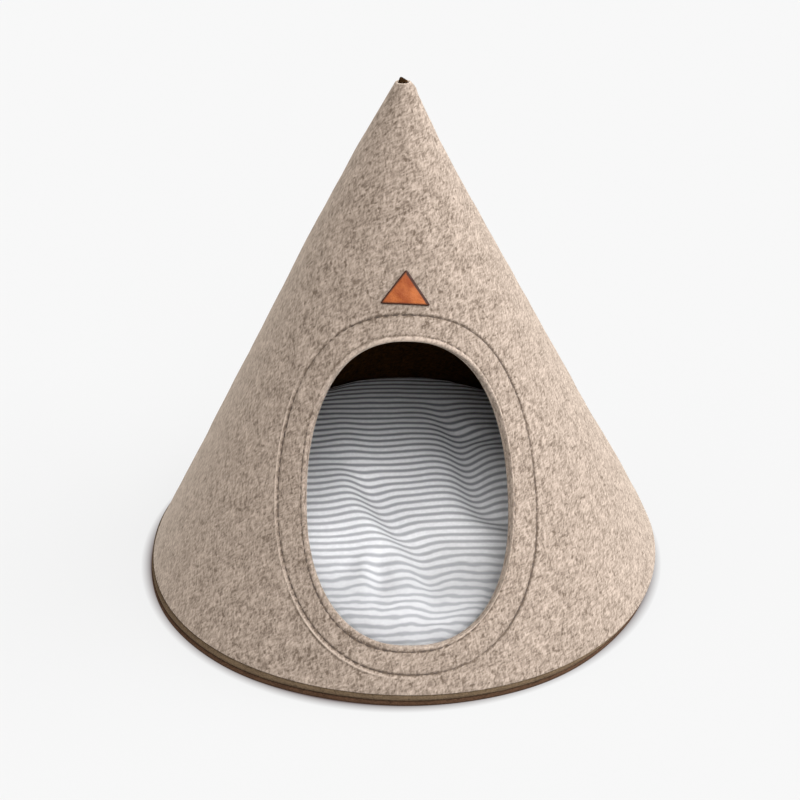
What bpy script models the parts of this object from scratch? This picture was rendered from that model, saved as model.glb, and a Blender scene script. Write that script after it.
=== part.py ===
"""Felt cat cave: a cone of thick felt on a round base, with an oval doorway and a cushion.

Metres, +Z up. The origin is the middle of the base's underside, and the doorway faces -Y.
"""

import math

import bpy
from mathutils import Vector

# The rim: a round base and, on it, the band that the cone's foot is sewn to.
BASE_RADIUS = 0.2500
BASE_THICKNESS = 0.0052
BASE_SHIFT = -0.0018
BAND_THICKNESS = 0.0062
BAND_WIDTH = 0.0180
BAND_SHIFT = -0.0006
RIM_ROUNDING = 0.0014
RIM_ROUNDING_STEPS = 2
GAP = 0.0003

# The cone: its outer face, if it ran on to a point, would end at APEX_HEIGHT. The shifts
# are sideways, along X, because the cone stands a little off the middle of the base.
FOOT_HEIGHT = 0.0120
FOOT_RADIUS = 0.2505
FOOT_SHIFT = 0.0018
APEX_HEIGHT = 0.4880
APEX_SHIFT = -0.0015
TIP_BEND = 0.0040
TIP_BEND_REACH = 0.0450
TIP_BEND_POWER = 4
ROUND_STEPS = 60

# The felt's layers, measured inwards from the outer face.
FELT_THICKNESS = 0.0050
LINING_THICKNESS = 0.0040
FELT_TOP = 0.4758
TIP_HOLE_RADIUS = 0.0043
TIP_HEIGHT = 0.4797
TIP_BLUNTNESS = 0.0009
CAVITY_TOP_RADIUS = 0.0030

# The doorway, measured on the felt before it is wound: from the point of the cone down
# its front, and to either side of that line.
DOOR_CENTRE = 0.3647
DOOR_ASIDE = 0.0042
DOOR_HALF_WIDTH = 0.0940
DOOR_HALF_HEIGHT = 0.1309
DOOR_STEPS = 66
FACING_SIDE = 0.0325
FACING_END = 0.0300
FACING_CLEARANCE = 0.0006

# The leather patch, measured the same way.
PATCH_TOP = 0.1719
PATCH_HEIGHT = 0.0305
PATCH_WIDTH = 0.0440
PATCH_ASIDE = 0.0047
PATCH_TILT = math.radians(2.6)
PATCH_THICKNESS = 0.0020
PATCH_CORNER_RADIUS = 0.0012
PATCH_CORNER_STEPS = 3
PATCH_EDGE_STEPS = 8

# The cushion: it lies higher at the back, and the wall presses its rim in.
CUSHION_SEAM_HEIGHT = 0.0280
CUSHION_TOP = 0.0880
CUSHION_TILT = 0.0800
CUSHION_CLEARANCE = 0.0032
CUSHION_STEPS = 48

# How sharply each quarter of the doorway turns: 2 is an ellipse, and more is squarer.
# Columns: quarter, power.
DOOR_QUARTERS = {
    "upper right": 2.33,
    "upper left": 2.25,
    "lower left": 2.28,
    "lower right": 2.32,
}

# The foot isn't quite round. Columns: waves round the foot, their height, and the
# direction of one crest in degrees from +X.
FOOT_WAVES = (
    (2, 0.0015, 98),
    (4, 0.0017, 35),
)

# Where the felt bulges out. Columns: direction in degrees from +X, height, how far it
# bulges, and how far up and down the bulge reaches.
BULGES = (
    (180, 0.3300, 0.0014, 0.0800),
    (0, 0.0750, 0.0030, 0.0450),
)

# The heights, as shares of the cone's height, of the rows that carry its bulges and bend.
FELT_ROWS = (0.15, 0.32, 0.52, 0.72, 0.86, 0.92, 0.96)

# The cushion's outline from the middle of its top to the middle of its underside.
# Columns: radius, height.
CUSHION_PROFILE = (
    (0.0000, CUSHION_TOP),
    (0.0900, 0.0880),
    (0.1450, 0.0865),
    (0.1800, 0.0830),
    (0.1980, 0.0765),
    (0.2110, 0.0655),
    (0.2190, 0.0530),
    (0.2240, 0.0400),
    (0.2265, CUSHION_SEAM_HEIGHT),
    (0.2235, 0.0175),
    (0.2120, 0.0088),
    (0.1900, BASE_THICKNESS + GAP),
    (0.0000, BASE_THICKNESS + GAP),
)

# Columns: colour, roughness.
FINISHES = {
    "beige felt": ((0.45, 0.38, 0.31, 1.0), 0.95),
    "dark felt": ((0.07, 0.05, 0.035, 1.0), 0.95),
    "ticking": ((0.72, 0.73, 0.76, 1.0), 0.90),
    "leather": ((0.52, 0.19, 0.08, 1.0), 0.50),
}

# The angle between the cone's side and its axis.
SLOPE = math.atan(FOOT_RADIUS / (APEX_HEIGHT - FOOT_HEIGHT))

# How far the cutters run out of the felt and into the cone.
CUT_OUTWARD = 0.0600
CUT_INWARD = 0.0500


def clear_scene():
    for obj in list(bpy.data.objects):
        bpy.data.objects.remove(obj)


def new_collection(name):
    collection = bpy.data.collections.new(name)
    bpy.context.scene.collection.children.link(collection)
    return collection


def finish(name):
    """The named finish as a material, made once."""
    material = bpy.data.materials.get(name)
    if material is None:
        colour, roughness = FINISHES[name]
        material = bpy.data.materials.new(name)
        material.use_nodes = True
        shader = material.node_tree.nodes["Principled BSDF"]
        shader.inputs["Base Color"].default_value = colour
        shader.inputs["Roughness"].default_value = roughness
        shader.inputs["Metallic"].default_value = 0.0
    return material


def unevenness(angle):
    """How far out of round the foot is in this direction, as a share of its radius."""
    rise = sum(
        height * math.cos(waves * (angle - math.radians(crest)))
        for waves, height, crest in FOOT_WAVES
    )
    return rise / BASE_RADIUS


def bulge(angle, height):
    """How far the felt bulges out in this direction and at this height."""
    rise = 0
    for direction, middle, size, reach in BULGES:
        facing = max(math.cos(angle - math.radians(direction)), 0)
        rise += size * facing**2 * math.exp(-(((height - middle) / reach) ** 2))
    return rise


def settled(point, shift=None):
    """A point of the true cone, moved as the felt stands: out of round, bulging, and
    leaning to its bent tip. A level piece gives its own sideways shift."""
    angle = math.atan2(point.y, point.x)
    out = Vector((point.x, point.y, 0)) * unevenness(angle)
    if shift is None:
        fallen = APEX_HEIGHT - point.z
        lean = fallen / (APEX_HEIGHT - FOOT_HEIGHT)
        bend = TIP_BEND / (1 + (max(fallen, 0) / TIP_BEND_REACH) ** TIP_BEND_POWER)
        shift = APEX_SHIFT + (FOOT_SHIFT - APEX_SHIFT) * lean + bend
        out += Vector((math.cos(angle), math.sin(angle), 0)) * bulge(angle, point.z)
    return point + out + Vector((shift, 0, 0))


def on_cone(across, down, depth):
    """The true cone's point for a place on the unwound felt, depth metres under its
    outer face."""
    along = math.hypot(across, down)
    turn = math.atan2(across, down) / math.sin(SLOPE)
    radius = along * math.sin(SLOPE) - depth * math.cos(SLOPE)
    height = APEX_HEIGHT - along * math.cos(SLOPE) - depth * math.sin(SLOPE)
    return Vector((radius * math.sin(turn), -radius * math.cos(turn), height))


def radius_at(height, depth):
    """The true cone's radius at this height, depth metres under its outer face."""
    return (APEX_HEIGHT - height) * math.tan(SLOPE) - depth / math.cos(SLOPE)


def height_at(radius, depth):
    """The height at which a layer of the true cone has this radius."""
    return APEX_HEIGHT - (radius + depth / math.cos(SLOPE)) / math.tan(SLOPE)


def add_object(name, mesh, collection):
    obj = bpy.data.objects.new(name, mesh)
    collection.objects.link(obj)
    return obj


def turned(name, profile, steps, collection, closed):
    """A solid turned about Z from (radius, height) points that run down its outer side."""
    mesh = bpy.data.meshes.new(name)
    ends = [(i, i + 1) for i in range(len(profile) - 1)]
    if closed:
        ends.append((len(profile) - 1, 0))
    mesh.from_pydata([(radius, 0, height) for radius, height in profile], ends, [])
    obj = add_object(name, mesh, collection)
    screw = obj.modifiers.new("Turn", "SCREW")
    screw.steps = screw.render_steps = steps
    screw.use_merge_vertices = True
    screw.merge_threshold = 0.0001
    graph = bpy.context.evaluated_depsgraph_get()
    graph.update()
    obj.data = bpy.data.meshes.new_from_object(obj.evaluated_get(graph))
    obj.modifiers.clear()
    bpy.data.meshes.remove(mesh)
    return obj


def settle(obj, shift=None):
    for vertex in obj.data.vertices:
        vertex.co = settled(vertex.co, shift)


def finished(obj, finish_name):
    obj.data.materials.clear()
    obj.data.materials.append(finish(finish_name))
    obj.data.shade_smooth()
    obj.data.set_sharp_from_angle(angle=math.radians(30))
    return obj


def cut(obj, cutter, operation):
    boolean = obj.modifiers.new(operation.title(), "BOOLEAN")
    boolean.operation = operation
    boolean.solver = "EXACT"
    boolean.object = cutter


def door_outline(side, end):
    """The doorway's outline on the unwound felt, grown by side and end, anticlockwise
    as seen from outside."""
    points = []
    for step in range(DOOR_STEPS):
        angle = 2 * math.pi * step / DOOR_STEPS
        right, up = math.cos(angle), math.sin(angle)
        quarter = f"{'upper' if up >= 0 else 'lower'} {'right' if right >= 0 else 'left'}"
        power = 2 / DOOR_QUARTERS[quarter]
        across = (DOOR_HALF_WIDTH + side) * math.copysign(abs(right) ** power, right)
        rise = (DOOR_HALF_HEIGHT + end) * math.copysign(abs(up) ** power, up)
        points.append((DOOR_ASIDE + across, DOOR_CENTRE - rise))
    return points


def patch_outline():
    """The patch's rounded triangle on the unwound felt, anticlockwise from outside."""
    corners = (
        Vector((0, 0)),
        Vector((-PATCH_WIDTH / 2, PATCH_HEIGHT)),
        Vector((PATCH_WIDTH / 2, PATCH_HEIGHT)),
    )
    arcs = []
    for i, corner in enumerate(corners):
        before = (corners[i - 1] - corner).normalized()
        after = (corners[(i + 1) % 3] - corner).normalized()
        half = before.angle(after) / 2
        middle = corner + (before + after).normalized() * PATCH_CORNER_RADIUS / math.sin(half)
        reach = PATCH_CORNER_RADIUS / math.tan(half)
        first = corner + before * reach - middle
        last = corner + after * reach - middle
        arcs.append([])
        for step in range(PATCH_CORNER_STEPS + 1):
            spoke = first.slerp(last, step / PATCH_CORNER_STEPS)
            arcs[-1].append(middle + spoke * PATCH_CORNER_RADIUS)
    points = []
    for i, arc in enumerate(arcs):
        start, end = arc[-1], arcs[(i + 1) % 3][0]
        points += arc
        points += [start.lerp(end, n / PATCH_EDGE_STEPS) for n in range(1, PATCH_EDGE_STEPS)]
    outline = []
    for point in points:
        across = point.x * math.cos(PATCH_TILT) - point.y * math.sin(PATCH_TILT)
        down = point.x * math.sin(PATCH_TILT) + point.y * math.cos(PATCH_TILT)
        outline.append((PATCH_ASIDE + across, PATCH_TOP + down))
    return outline


def plug(name, outline, middle, collection):
    """A cutter through the felt, square to it everywhere, with this outline."""
    rings = []
    for depth in (-CUT_OUTWARD, CUT_INWARD):
        rings.append([settled(on_cone(across, down, depth)) for across, down in outline])
    hubs = [settled(on_cone(*middle, depth)) for depth in (-CUT_OUTWARD, CUT_INWARD)]
    count = len(outline)
    points = rings[0] + rings[1] + hubs
    faces = []
    for i in range(count):
        after = (i + 1) % count
        faces.append((i, i + count, after + count))
        faces.append((i, after + count, after))
        faces.append((i, after, 2 * count))
        faces.append((after + count, i + count, 2 * count + 1))
    mesh = bpy.data.meshes.new(name)
    mesh.from_pydata(points, [], faces)
    obj = add_object(name, mesh, collection)
    obj.hide_render = True
    obj.display_type = "WIRE"
    return obj


def layer_profile(outer, inner, top):
    """The outer and inner sides of a felt layer's section between two depths, from a top
    cut level down to the foot and up again."""
    rows = [FOOT_HEIGHT + share * (FELT_TOP - FOOT_HEIGHT) for share in FELT_ROWS]
    down = [(radius_at(z, outer), z) for z in [top, *reversed(rows), FOOT_HEIGHT]]
    up = [(radius_at(z, inner), z) for z in [FOOT_HEIGHT, *rows]]
    return down, up


def make_outer_felt(collection, doorway):
    down, up = layer_profile(0, FELT_THICKNESS, FELT_TOP)
    hole = [
        (TIP_HOLE_RADIUS, height_at(TIP_HOLE_RADIUS, FELT_THICKNESS)),
        (TIP_HOLE_RADIUS, FELT_TOP),
    ]
    up = [point for point in up if point[0] > TIP_HOLE_RADIUS]
    felt = turned("outer_felt", down + up + hole, ROUND_STEPS, collection, closed=True)
    settle(felt)
    cut(felt, doorway, "DIFFERENCE")
    return finished(felt, "beige felt")


def inner_layer(name, collection, with_tip):
    """The layer behind the outer felt, which holds both the lining and the facing. With
    its tip it ends in the lining's pinched point, which sticks out of the felt's top."""
    outer = FELT_THICKNESS + GAP
    inner = outer + LINING_THICKNESS
    neck = TIP_HOLE_RADIUS - GAP
    neck_height = height_at(neck, outer)
    down, up = layer_profile(outer, inner, neck_height)
    cavity_top = height_at(CAVITY_TOP_RADIUS, inner)
    up = [point for point in up if point[1] < cavity_top - GAP]
    roof = [(CAVITY_TOP_RADIUS, cavity_top)]
    if with_tip:
        roof.append((0, cavity_top))
        tip = [(0, TIP_HEIGHT), (TIP_BLUNTNESS, TIP_HEIGHT), (neck, FELT_TOP)]
        layer = turned(name, tip + down + up + roof, ROUND_STEPS, collection, closed=False)
    else:
        roof.append((CAVITY_TOP_RADIUS, neck_height))
        layer = turned(name, down + up + roof, ROUND_STEPS, collection, closed=True)
    settle(layer)
    return layer


def make_lining(collection, facing_place):
    lining = inner_layer("lining", collection, with_tip=True)
    cut(lining, facing_place, "DIFFERENCE")
    return finished(lining, "dark felt")


def make_facing(collection, facing_edge, doorway):
    facing = inner_layer("doorway_facing", collection, with_tip=False)
    cut(facing, facing_edge, "INTERSECT")
    cut(facing, doorway, "DIFFERENCE")
    return finished(facing, "beige felt")


def make_patch(collection, patch_edge):
    outer = -GAP - PATCH_THICKNESS
    top = on_cone(0, PATCH_TOP / 2, 0).z
    foot = on_cone(0, PATCH_TOP + 2 * PATCH_HEIGHT, 0).z
    profile = [
        (radius_at(top, outer), top),
        (radius_at(foot, outer), foot),
        (radius_at(foot, -GAP), foot),
        (radius_at(top, -GAP), top),
    ]
    patch = turned("leather_patch", profile, ROUND_STEPS, collection, closed=True)
    settle(patch)
    cut(patch, patch_edge, "INTERSECT")
    return finished(patch, "leather")


def rounded_section(inner, outer, low, high, rounding):
    """A flat ring's section with its outer corners rounded, down its outer side."""
    points = [(inner, high)]
    middle = outer - rounding
    for start, height in ((90, high - rounding), (0, low + rounding)):
        for step in range(RIM_ROUNDING_STEPS + 1):
            angle = math.radians(start - 90 * step / RIM_ROUNDING_STEPS)
            radius = middle + rounding * math.cos(angle)
            points.append((radius, height + rounding * math.sin(angle)))
    points.append((inner, low))
    return points


def make_base(collection):
    section = rounded_section(0, BASE_RADIUS, 0, BASE_THICKNESS, RIM_ROUNDING)
    base = turned("base", section, ROUND_STEPS, collection, closed=False)
    settle(base, shift=BASE_SHIFT)
    return finished(base, "dark felt")


def make_foot_band(collection):
    low = BASE_THICKNESS + GAP
    section = rounded_section(
        BASE_RADIUS - BAND_WIDTH, BASE_RADIUS, low, low + BAND_THICKNESS, RIM_ROUNDING
    )
    band = turned("foot_band", section, ROUND_STEPS, collection, closed=True)
    settle(band, shift=BAND_SHIFT)
    return finished(band, "dark felt")


def make_cushion(collection):
    cushion = turned("cushion", CUSHION_PROFILE, CUSHION_STEPS, collection, closed=False)
    wall = FELT_THICKNESS + GAP + LINING_THICKNESS
    crown = CUSHION_TOP - CUSHION_SEAM_HEIGHT
    for vertex in cushion.data.vertices:
        share = max(vertex.co.z - CUSHION_SEAM_HEIGHT, 0) / crown
        vertex.co.z += share * CUSHION_TILT * vertex.co.y
        room = radius_at(vertex.co.z, wall) - CUSHION_CLEARANCE
        reach = math.hypot(vertex.co.x, vertex.co.y)
        if reach > room:
            vertex.co.x *= room / reach
            vertex.co.y *= room / reach
    settle(cushion)
    return finished(cushion, "ticking")


def main():
    clear_scene()
    cave = new_collection("felt cat cave")
    cutters = new_collection("cutters")
    door_middle = (DOOR_ASIDE, DOOR_CENTRE)
    patch_middle = (PATCH_ASIDE, PATCH_TOP + PATCH_HEIGHT * 2 / 3)
    doorway = plug("doorway cutter", door_outline(0, 0), door_middle, cutters)
    facing_edge = plug(
        "facing cutter", door_outline(FACING_SIDE, FACING_END), door_middle, cutters
    )
    facing_place = plug(
        "lining cutter",
        door_outline(FACING_SIDE + FACING_CLEARANCE, FACING_END + FACING_CLEARANCE),
        door_middle,
        cutters,
    )
    patch_edge = plug("patch cutter", patch_outline(), patch_middle, cutters)
    make_base(cave)
    make_foot_band(cave)
    make_outer_felt(cave, doorway)
    make_lining(cave, facing_place)
    make_facing(cave, facing_edge, doorway)
    make_patch(cave, patch_edge)
    make_cushion(cave)


main()
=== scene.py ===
"""Felt cat cave: the looks of its felt, stitches, leather, cushion and rim.

The cloth pieces are cut flat, as a pattern, and then wound to a cone. On the flat pattern X
runs across, Y runs up towards the cone's point, which is at the origin, and Z is the height
over the felt's outer face. All sizes are in metres.
"""

import math

import bmesh
import bpy
import numpy as np
from bpy.props import FloatProperty, FloatVectorProperty, IntProperty, PointerProperty
from mathutils import Matrix, Vector, noise
from mathutils.bvhtree import BVHTree


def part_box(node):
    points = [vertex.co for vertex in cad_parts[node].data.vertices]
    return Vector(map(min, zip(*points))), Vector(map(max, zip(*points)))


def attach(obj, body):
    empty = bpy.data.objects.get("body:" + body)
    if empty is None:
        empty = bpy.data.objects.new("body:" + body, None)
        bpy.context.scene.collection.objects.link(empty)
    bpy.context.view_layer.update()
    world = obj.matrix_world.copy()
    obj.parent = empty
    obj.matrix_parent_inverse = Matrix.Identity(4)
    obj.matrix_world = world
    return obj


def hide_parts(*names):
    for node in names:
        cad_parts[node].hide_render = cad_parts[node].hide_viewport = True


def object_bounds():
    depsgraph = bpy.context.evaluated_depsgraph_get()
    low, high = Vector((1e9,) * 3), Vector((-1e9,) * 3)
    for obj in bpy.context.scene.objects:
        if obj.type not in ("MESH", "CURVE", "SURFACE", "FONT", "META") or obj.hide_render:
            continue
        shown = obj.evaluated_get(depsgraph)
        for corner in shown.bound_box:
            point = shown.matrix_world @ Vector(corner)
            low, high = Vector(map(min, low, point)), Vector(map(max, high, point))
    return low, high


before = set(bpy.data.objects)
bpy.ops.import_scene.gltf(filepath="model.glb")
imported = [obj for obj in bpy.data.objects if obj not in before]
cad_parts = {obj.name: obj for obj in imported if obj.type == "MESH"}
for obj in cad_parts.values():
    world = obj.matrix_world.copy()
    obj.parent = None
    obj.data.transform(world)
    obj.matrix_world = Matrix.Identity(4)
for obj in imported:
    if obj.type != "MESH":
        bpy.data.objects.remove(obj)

bl_info = {
    "name": "Felt Cat Cave",
    "version": (1, 0, 0),
    "blender": (4, 5, 0),
    "location": "View3D > Sidebar > Cat Cave",
    "description": "Sews a cone of felt with a doorway, a striped cushion and a leather patch",
    "category": "Add Mesh",
}

CAD_BOX = [list(corner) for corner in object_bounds()]

# How the foot is out of round. Columns: waves round the foot, their height as a share of
# the radius, and the direction of one crest in degrees from +X.
FOOT_WAVES = ((2, 0.0060, 98), (4, 0.0068, 35))

# Where the felt bulges out. Columns: direction in degrees from +X, height, how far it
# bulges, and how far up and down the bulge reaches.
BULGES = (
    (180, 0.3300, 0.0014, 0.0800),
    (0, 0.0750, 0.0030, 0.0450),
    (0, 0.4700, 0.0014, 0.0045),
)

# The doorway's outline, from its cut edge through its two stitch rows and past them.
# Columns: share of the way from the edge to the outer row, what is added to the doorway's
# half width and half height, how far its middle moves right and down, and how sharply its
# upper right, upper left, lower left and lower right turn: 2 is an ellipse, more is squarer.
DOOR_ROWS = (
    (0.000, 0.0000, 0.0000, 0.0000, 0.0000, 2.33, 2.25, 2.28, 2.32),
    (0.144, 0.0025, 0.0049, -0.0008, -0.0001, 2.33, 2.23, 2.42, 2.22),
    (1.000, 0.0261, 0.0235, -0.0013, 0.0009, 2.37, 2.22, 2.12, 2.26),
    (2.000, 0.0521, 0.0485, -0.0013, 0.0009, 2.37, 2.22, 2.12, 2.26),
)


# ---------------------------------------------------------------------------------------
# Sizes and colours
# ---------------------------------------------------------------------------------------


def length(name, description, default):
    return FloatProperty(name=name, description=description, default=default, unit="LENGTH")


def number(name, description, default):
    return FloatProperty(name=name, description=description, default=default)


def colour(name, description, default):
    return FloatVectorProperty(
        name=name, description=description, default=default, subtype="COLOR", size=3, min=0, max=1
    )


class ConeSizes(bpy.types.PropertyGroup):
    apex_height: length("Point height", "Height at which the felt's faces would meet", 0.4880)
    top_height: length("Top height", "Height of the felt's cut top", 0.4758)
    foot_height: length("Foot height", "Height of the felt's foot", 0.0120)
    foot_radius: length("Foot radius", "Radius of the felt's foot", 0.2505)
    foot_shift: length("Foot shift", "How far the foot stands to the right", 0.0018)
    apex_shift: length("Point shift", "How far the point stands to the right", -0.0015)
    tip_bend: length("Tip bend", "How far the tip bends to the right", 0.0040)
    tip_reach: length("Tip bend reach", "How far down the tip's bend reaches", 0.0450)
    tip_hole: length("Tip hole", "Radius of the hole in the felt's top", 0.0043)
    felt: length("Felt thickness", "Thickness of the outer felt", 0.0050)
    lining: length("Lining thickness", "Thickness of the lining and the facing", 0.0040)
    gap: length("Gap", "Gap between two layers", 0.0003)


class DoorSizes(bpy.types.PropertyGroup):
    centre: length("Centre", "From the cone's point down to the doorway's middle", 0.3647)
    aside: length("Aside", "How far the doorway stands to the right", 0.0042)
    half_width: length("Half width", "Half the doorway's width on the flat felt", 0.0940)
    half_height: length("Half height", "Half the doorway's height on the flat felt", 0.1309)
    facing_reach: number("Facing reach", "Where the facing ends, the outer row being at 1", 1.18)
    facing_setback: length("Facing setback", "How far its edge stands back on the left", 0.0020)
    inner_row: number("Inner row", "Its place, the edge being at 0 and the outer row at 1", 0.144)
    pitch: length("Stitch pitch", "Distance from one stitch to the next", 0.0080)


class CushionSizes(bpy.types.PropertyGroup):
    stripe_pitch: length("Stripe pitch", "Width of one white and one grey stripe", 0.0101)
    voxel: length("Cloth cell", "Size of the cloth's cells while it is filled", 0.0050)
    slack: length("Slack", "How much smaller the cover starts before it is filled", 0.0050)
    loose: number("Looseness", "Spare cloth as a share", 0.06)
    pressure: number("Filling pressure", "How hard it is filled", 4)
    frames: IntProperty(name="Filling steps", description="Steps of the filling", default=20)
    cap: length("Most swelling", "The farthest that a point may move while it is filled", 0.0030)
    proud: length("Crown", "How far the filled cover may stand over the plain cushion", 0.0040)


class CaveColours(bpy.types.PropertyGroup):
    felt_light: colour("Light felt", "Light fibres of the outer felt", (0.283, 0.228, 0.188))
    felt_dark: colour("Dark felt", "Dark fibres of the outer felt", (0.078, 0.056, 0.041))
    lining: colour("Lining", "Dark felt inside", (0.058, 0.024, 0.004))
    band: colour("Foot band", "Light fibres of the rim's upper layer", (0.108, 0.074, 0.045))
    base: colour("Base", "Light fibres of the rim's lower layer", (0.062, 0.033, 0.019))
    stripe_white: colour("White stripe", "Light stripes of the cushion", (0.88, 0.88, 0.90))
    stripe_grey: colour("Grey stripe", "Dark stripes of the cushion", (0.42, 0.425, 0.445))
    # Painted shade: the grey stripes darker at the back, and both stripes darker and lower in
    # contrast by the sill.
    far_grey_painted_shade: colour("Far grey stripe", "Dark stripes at the back", (0.20, 0.205, 0.225))
    front_white_painted_shade: colour("Front white stripe", "Light stripes by the sill", (0.46, 0.46, 0.47))
    front_grey_painted_shade: colour("Front grey stripe", "Dark stripes by the sill", (0.265, 0.27, 0.28))
    leather: colour("Leather", "Face of the patch", (0.250, 0.068, 0.014))
    leather_worn: colour("Worn leather", "Darker places on the patch", (0.150, 0.028, 0.003))
    # The patch's dark edge: burnish, and painted shade on its right side.
    leather_edge: colour("Leather edge", "Burnished edge of the patch", (0.022, 0.005, 0.001))
    thread_dark: colour("Dark thread", "Stitches round the doorway", (0.045, 0.027, 0.018))
    thread_light: colour("Light thread", "Stitches down the back", (0.22, 0.17, 0.13))
    floor: colour("Floor", "The studio floor, apart from its glow", (0.05, 0.05, 0.05))


def cone():
    return bpy.context.scene.cat_cave_cone


def door():
    return bpy.context.scene.cat_cave_door


def cushion_sizes():
    return bpy.context.scene.cat_cave_cushion


def palette():
    return bpy.context.scene.cat_cave_colours


def slope():
    """The angle between the cone's side and its axis."""
    size = cone()
    return math.atan(size.foot_radius / (size.apex_height - size.foot_height))


# ---------------------------------------------------------------------------------------
# Node trees
# ---------------------------------------------------------------------------------------


class Wire:
    """A number or vector in a node tree. Arithmetic on numbers adds Math nodes."""

    def __init__(self, tree, socket):
        self.tree = tree
        self.socket = socket

    def math(self, operation, *others):
        values = dict(enumerate((self, *others)))
        return wire(self.tree, "ShaderNodeMath", values, operation=operation)

    def __add__(self, other):
        return self.math("ADD", other)

    def __sub__(self, other):
        return self.math("SUBTRACT", other)

    def __mul__(self, other):
        return self.math("MULTIPLY", other)

    def __truediv__(self, other):
        return self.math("DIVIDE", other)

    def __pow__(self, other):
        return self.math("POWER", other)

    def between(self, low, high, shape="SMOOTHSTEP"):
        """0 at low, 1 at high, and a ramp between them."""
        values = {"Value": self, "From Min": low, "From Max": high}
        return wire(self.tree, "ShaderNodeMapRange", values, "Result", interpolation_type=shape)


def connect(tree, value, socket):
    if isinstance(value, Wire):
        tree.links.new(value.socket, socket)
    else:
        socket.default_value = value


def add_node(tree, kind, inputs=None, **settings):
    node = tree.nodes.new(kind)
    for name, value in settings.items():
        setattr(node, name, value)
    for name, value in (inputs or {}).items():
        connect(tree, value, node.inputs[name])
    return node


def wire(tree, kind, inputs=None, output=0, **settings):
    """One output of a new node."""
    return Wire(tree, add_node(tree, kind, inputs, **settings).outputs[output])


def new_tree(name, kind, inputs, outputs):
    """A node group with named sockets: its inputs as wires by name, and its last node."""
    tree = bpy.data.node_groups.new(name, kind)
    for side, sockets in (("INPUT", inputs), ("OUTPUT", outputs)):
        for label, socket in sockets.items():
            tree.interface.new_socket(label, in_out=side, socket_type=f"NodeSocket{socket}")
    start = tree.nodes.new("NodeGroupInput")
    end = tree.nodes.new("NodeGroupOutput")
    return tree, {label: Wire(tree, start.outputs[label]) for label in inputs}, end


def new_modifier_tree(name, inputs):
    inputs = {"Geometry": "Geometry", **inputs}
    tree, wires, end = new_tree(name, "GeometryNodeTree", inputs, {"Geometry": "Geometry"})
    tree.is_modifier = True
    return tree, wires, end.inputs[0]


def vector_of(tree, *axes):
    return wire(tree, "ShaderNodeCombineXYZ", dict(enumerate(axes)))


def axes_of(tree, vector):
    """The three numbers of a vector."""
    node = add_node(tree, "ShaderNodeSeparateXYZ", {0: vector})
    return [Wire(tree, output) for output in node.outputs]


def place_tree(name, numbers):
    """A tree that moves every point of a mesh: its wires, its point's axes, and a function
    that ends it at a new place."""
    tree, wires, end = new_modifier_tree(name, dict.fromkeys(numbers, "Float"))

    def move_to(*axes):
        values = {"Geometry": wires["Geometry"], "Position": vector_of(tree, *axes)}
        connect(tree, wire(tree, "GeometryNodeSetPosition", values), end)

    return tree, wires, axes_of(tree, wire(tree, "GeometryNodeInputPosition")), move_to


def winding_tree(name):
    """Winds flat cloth to a cone whose point is at Apex Height over the origin."""
    tree, wires, (x, y, z), move_to = place_tree(name, ("Apex Height", "Slope"))
    down = y * -1.0
    along = (x * x + down * down).math("SQRT")
    turn = x.math("ARCTAN2", down) / wires["Slope"].math("SINE")
    radius = along * wires["Slope"].math("SINE") + z * wires["Slope"].math("COSINE")
    fallen = along * wires["Slope"].math("COSINE") - z * wires["Slope"].math("SINE")
    height = wires["Apex Height"] - fallen
    move_to(radius * turn.math("SINE"), radius * turn.math("COSINE") * -1.0, height)
    return tree


def settling_values(aside=0.0):
    """The inputs of the tree that settles a piece. Aside moves it more to the right."""
    size = cone()
    return {
        "Apex Height": size.apex_height,
        "Foot Height": size.foot_height,
        "Apex Shift": size.apex_shift,
        "Foot Shift": size.foot_shift,
        "Tip Bend": size.tip_bend,
        "Tip Reach": size.tip_reach,
        "Aside": aside,
    }


def settling_tree(name):
    """Lets a true cone settle as the felt stands: out of round, bulging, and leaning to
    its bent tip."""
    tree, wires, (x, y, z), move_to = place_tree(name, settling_values())
    angle = y.math("ARCTAN2", x)
    radius = (x * x + y * y).math("SQRT")
    out = radius * 0.0
    for waves, share, crest in FOOT_WAVES:
        wave = (angle * float(waves) - waves * math.radians(crest)).math("COSINE")
        out = out + radius * wave * share
    for direction, middle, size, reach in BULGES:
        facing = (angle - math.radians(direction)).math("COSINE").math("MAXIMUM", 0.0)
        level = (z - middle) / reach
        out = out + facing * facing * (level * level * -1.0).math("EXPONENT") * size
    fallen = wires["Apex Height"] - z
    lean = fallen / (wires["Apex Height"] - wires["Foot Height"])
    shift = wires["Apex Shift"] + (wires["Foot Shift"] - wires["Apex Shift"]) * lean
    depth = fallen.math("MAXIMUM", 0.0) / wires["Tip Reach"]
    shift = shift + wires["Tip Bend"] / (depth**4.0 + 1.0) + wires["Aside"]
    grow = (radius + out) / radius.math("MAXIMUM", 0.000001)
    move_to(x * grow + shift, y * grow, z)
    return tree


# How unevenly the stitches are sewn: the most that one turns, in radians, and the smallest
# and largest size of one.
STITCH_TURN = 0.09
STITCH_SIZES = ((0.86, 0.85, 0.85), (1.08, 1.15, 1.1))


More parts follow.
